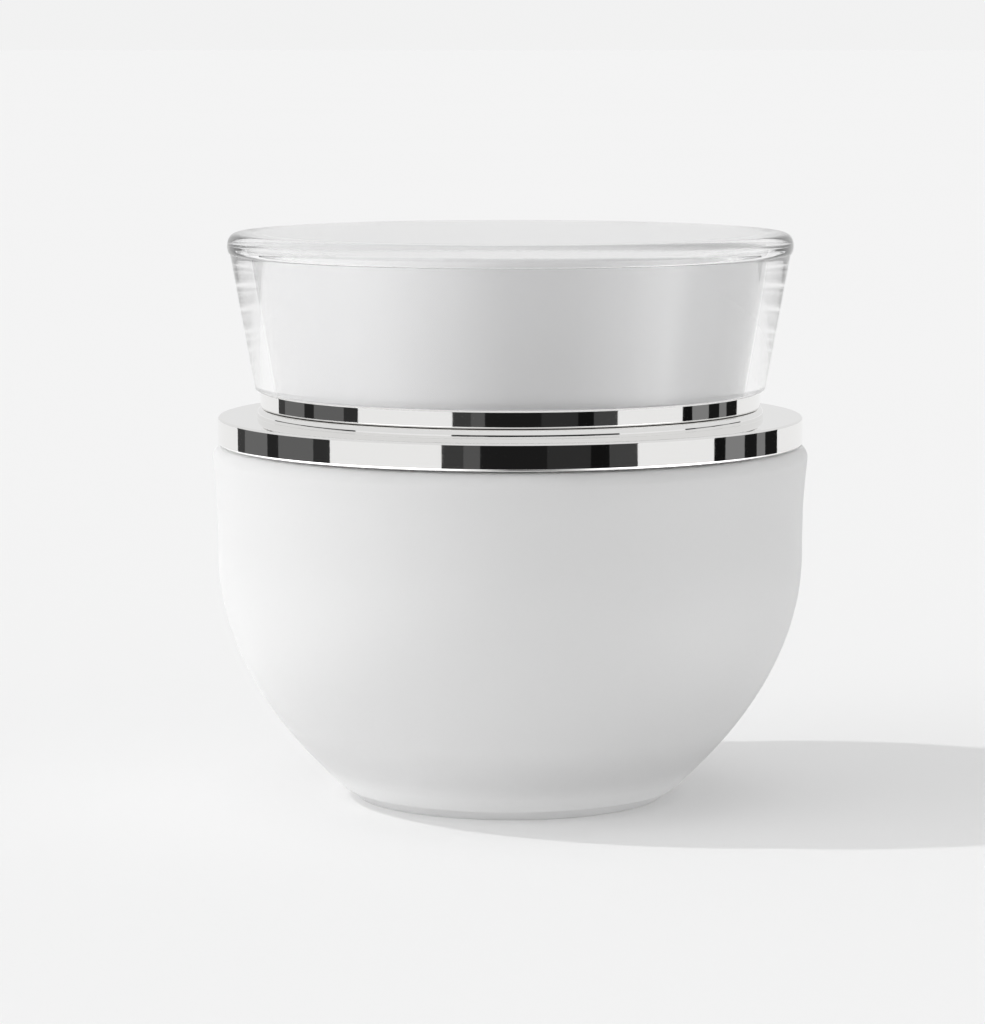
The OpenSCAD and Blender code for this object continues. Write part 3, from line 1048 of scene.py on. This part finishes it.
class JAR_OT_threaded_insert(bpy.types.Operator):
    """Build the threaded insert with its spacer ribs"""

    bl_idname = "jar.threaded_insert"
    bl_label = "Threaded Insert"

    def execute(self, context):
        jar = context.scene.cream_jar
        lid, c, t = sizes(jar.lid), sizes(jar.cup), sizes(jar.thread)
        bore_r = c.neck_radius + t.depth + t.clearance
        plate_top = lid.insert_plate + lid.insert_plate_thickness
        ring_in = lid.rib_ring_radius - lid.rib_thickness / 2
        ring_out = lid.rib_ring_radius + lid.rib_thickness / 2
        profile = rounded([
            (bore_r, lid.insert_bottom, 0.25), (lid.insert_radius, lid.insert_bottom, 0.25),
            (lid.insert_radius, plate_top, 0.3), (ring_out, plate_top, 0.2),
            (ring_out, lid.insert_top, 0.15), (ring_in, lid.insert_top, 0.15),
            (ring_in, plate_top, 0.2), (0.0, plate_top), (0.0, lid.insert_plate),
            (bore_r, lid.insert_plate, 0.3),
        ])
        piece = place("threaded_insert_white", turned("threaded_insert_white", profile))
        material = finish_of("white_pp")
        root, crest = bore_r + t.embed, c.neck_radius + t.clearance
        grow(piece, screw_thread_tree(), thread_values(jar.thread, root, crest, math.pi / 2, material))
        grow(piece, spacer_ribs_tree(), {
            "Inner Radius": (lid.rib_ring_radius - 10) * MM, "Outer Radius": (lid.rib_ring_radius + 4) * MM,
            "Thickness": lid.rib_thickness * MM, "Foot": (plate_top - 0.1) * MM,
            "Top": (lid.insert_top - 0.02) * MM, "Ribs": lid.rib_count, "Material": material,
        })
        bake_down(piece)
        settle(piece, "lid", "threaded_insert")
        return {"FINISHED"}


# ---------------------------------------------------------------- studio

# Black flags round the jar: where each starts and ends, in degrees to the right of the front, and its tone
FLAGS = (
    (-128, -121, 0.05), (-121, -104, 0.14), (-104, -97, 0.02), (-97, -78, 0.12), (-78, -70, 0.03),
    (-25, -17, 0.045), (-17, -11, 0.09), (-11, 13, 0.012), (13, 29, 0.028), (29, 36, 0.006), (36, 47, 0.055),
    (81, 87, 0.006), (87, 98, 0.22), (98, 106, 0.01), (106, 112, 0.2), (112, 122, 0.01),
)

# Tone of the card round the jar's foot, which only gloss reflects: degrees to the right of the front, tone
CARD = (
    (-180, 0.85), (-135, 1.1), (-118, 1.5), (-98, 2.5), (-83, 3.1), (-68, 3.8), (-50, 3.6), (-34, 2.5),
    (-24, 1.9), (-14, 1.1), (-5, 0.5), (0, 0.2), (14, 0.3), (24, 0.8), (33, 1.7), (44, 2.8), (56, 4.3),
    (66, 4.9), (77, 3.0), (95, 1.8), (113, 1.1), (140, 0.9), (180, 0.85),
)


def bare_tree(owner):
    """The node tree of a material or a world, emptied."""
    owner.use_nodes = True
    owner.node_tree.nodes.clear()
    return owner.node_tree


def floor_finish(tone):
    """Matt white paper."""
    material = bpy.data.materials.new("studio_floor")
    tree = bare_tree(material)
    where = add(tree, "ShaderNodeTexCoord").outputs["Object"]
    noise = add(tree, "ShaderNodeTexNoise", {"Vector": where, "Scale": 3.0, "Detail": 2.0}).outputs["Fac"]
    paper = blend(tree, noise, shaded(tone, 0.0), shaded(tone, 0.008))
    matt = add(tree, "ShaderNodeBsdfDiffuse", {"Color": paper})
    add(tree, "ShaderNodeOutputMaterial", {"Surface": matt.outputs[0]})
    return material


def flag_finish():
    """A flag's own tone, read from its faces and unlit. Light that came through acrylic passes it."""
    material = bpy.data.materials.new("studio_flags")
    tree = bare_tree(material)
    tone = add(tree, "ShaderNodeAttribute", attribute_name="tone", attribute_type="GEOMETRY")
    glow = add(tree, "ShaderNodeEmission", {"Color": tone.outputs["Color"]})
    path = add(tree, "ShaderNodeLightPath")
    through = worked("GREATER_THAN", Number(path.outputs["Transmission Depth"]), 0.5)
    gone = add(tree, "ShaderNodeBsdfTransparent")
    mixed = add(tree, "ShaderNodeMixShader", {0: through, 1: glow.outputs[0], 2: gone.outputs[0]})
    add(tree, "ShaderNodeOutputMaterial", {"Surface": mixed.outputs[0]})
    return material


def card_tone(degrees):
    """Tone of the card in a direction, blended between the two nearest that are given."""
    for (a, low), (b, high) in zip(CARD, CARD[1:]):
        if a <= degrees <= b:
            return low + (high - low) * (degrees - a) / (b - a)
    raise ValueError(f"the card has no tone at {degrees} degrees")


def from_front(radius, degrees, height):
    """A point at a radius and a height, in a direction in degrees to the right of the front."""
    angle = math.radians(degrees)
    return radius * math.sin(angle), -radius * math.cos(angle), height


def standing_flags(radius, height):
    """Curved flags round the jar, and a toned card round its foot, that show only in glossy surfaces."""
    verts, faces, tones = [], [], []

    def strip(pairs, shades):
        """Faces between pairs of points, with a shade at each pair."""
        for k, pair in enumerate(pairs):
            verts.extend(pair)
            if k:
                n = len(verts)
                faces.append((n - 4, n - 2, n - 1, n - 3))
                tones.extend((shades[k - 1], shades[k], shades[k], shades[k - 1]))

    round_card = range(-180, 181, CARD_STEP)
    strip([(from_front(CARD_FROM, d, STAND_CLEAR), from_front(CARD_SHARE * radius, d, STAND_CLEAR))
           for d in round_card], [card_tone(d) for d in round_card])
    for first, last, tone in FLAGS:
        steps = max(1, round((last - first) / FLAG_STEP))
        along = [first + (last - first) * k / steps for k in range(steps + 1)]
        strip([(from_front(radius, d, STAND_CLEAR), from_front(radius, d, height)) for d in along],
              [tone] * len(along))
    mesh = bpy.data.meshes.new("studio_flags")
    mesh.from_pydata(verts, [], faces)
    colours = mesh.color_attributes.new("tone", "FLOAT_COLOR", "CORNER")
    colours.data.foreach_set("color", [v for tone in tones for v in (tone, tone, tone, 1.0)])
    flags = place("studio_flags", mesh, flag_finish())
    for kind in ("camera", "diffuse", "transmission", "volume_scatter", "shadow"):
        setattr(flags, "visible_" + kind, False)
    return flags


def far_light(studio, name):
    """A distant light, which neither gloss reflects nor clear acrylic shows."""
    lamp = bpy.data.lights.new(name, "SUN")
    lamp.energy = getattr(studio, name)
    lamp.angle = getattr(studio, name + "_spread")
    light = bpy.data.objects.new(name, lamp)
    a, e = getattr(studio, name + "_side"), getattr(studio, name + "_height")
    towards = Vector((-math.sin(a) * math.cos(e), -math.cos(a) * math.cos(e), math.sin(e)))
    light.rotation_euler = towards.to_track_quat("Z", "Y").to_euler()
    light.visible_glossy = light.visible_transmission = False
    bpy.context.scene.collection.objects.link(light)


def surround_light(fill, surround, sheen):
    """A world that lights evenly, is a little brighter where it is seen and dimmer where gloss mirrors it."""
    world = bpy.data.worlds.new("studio_surround")
    tree = bare_tree(world)
    path = add(tree, "ShaderNodeLightPath").outputs
    direct = worked("LESS_THAN", Number(path["Transmission Depth"]), 0.5)
    mirrored = Number(path["Is Glossy Ray"]) * direct
    strength = surround
    for factor, value in ((mirrored, sheen), (path["Is Diffuse Ray"], fill)):
        mix = add(tree, "ShaderNodeMix", {0: factor, 2: strength, 3: value}, data_type="FLOAT")
        strength = mix.outputs[0]
    glow = add(tree, "ShaderNodeBackground", {"Color": (1.0, 1.0, 1.0, 1.0), "Strength": strength})
    add(tree, "ShaderNodeOutputWorld", {"Surface": glow.outputs[0]})
    return world


class JAR_OT_studio(bpy.types.Operator):
    """Build the floor, the light and the camera"""

    bl_idname = "jar.studio"
    bl_label = "Studio"

    def execute(self, context):
        scene = context.scene
        studio = scene.cream_jar.studio
        corners = [(x * FLOOR_HALF, y * FLOOR_HALF, 0) for x, y in ((-1, -1), (1, -1), (1, 1), (-1, 1))]
        mesh = bpy.data.meshes.new("studio_floor")
        mesh.from_pydata(corners, [], [(0, 1, 2, 3)])
        floor = place("studio_floor", mesh, floor_finish(studio.floor_tone))
        flags = standing_flags(studio.flag_radius, studio.flag_height)
        scene.world = surround_light(studio.fill, studio.surround, studio.sheen)
        far_light(studio, "key")
        far_light(studio, "side")
        lens = bpy.data.cameras.new("camera")
        lens.lens = studio.camera_lens
        lens.sensor_width = 36.0
        camera = bpy.data.objects.new("camera", lens)
        camera.matrix_world = Matrix.Translation(studio.camera_place) @ Matrix.Rotation(
            math.pi / 2 - studio.camera_tilt, 4, "X")
        scene.collection.objects.link(camera)
        scene.camera = camera
        scene.view_settings.view_transform = "Standard"
        scene.cycles.max_bounces = 32
        scene.cycles.transmission_bounces = 32
        scene.cycles.glossy_bounces = 16
        return {"FINISHED"}


# ---------------------------------------------------------------- add-on

STEPS = (
    JAR_OT_frosted_bowl, JAR_OT_inner_cup, JAR_OT_mirror_rings, JAR_OT_sealing_disc, JAR_OT_liner,
    JAR_OT_clear_overcap, JAR_OT_pearl_cap, JAR_OT_threaded_insert, JAR_OT_studio,
)


class JAR_PT_panel(bpy.types.Panel):
    """Lists the jar's pieces and the studio"""

    bl_label = "Cream Jar"
    bl_idname = "JAR_PT_panel"
    bl_space_type = "VIEW_3D"
    bl_region_type = "UI"
    bl_category = "Cream Jar"

    def draw(self, context):
        column = self.layout.column(align=True)
        for step in STEPS:
            column.operator(step.bl_idname)


CLASSES = (
    BowlSettings, CupSettings, ThreadSettings, RingSettings, LidSettings, FinishSettings,
    StudioSettings, JarSettings, *STEPS, JAR_PT_panel,
)


def register():
    """Adds the settings, operators and panel."""
    for cls in CLASSES:
        bpy.utils.register_class(cls)
    bpy.types.Scene.cream_jar = PointerProperty(type=JarSettings)


def unregister():
    """Removes what register added."""
    del bpy.types.Scene.cream_jar
    for cls in reversed(CLASSES):
        bpy.utils.unregister_class(cls)


def main():
    register()
    for step in STEPS:
        family, name = step.bl_idname.split(".")
        if getattr(getattr(bpy.ops, family), name)() != {"FINISHED"}:
            raise RuntimeError(f"{step.bl_label} did not finish")


if __name__ == "__main__":
    main()
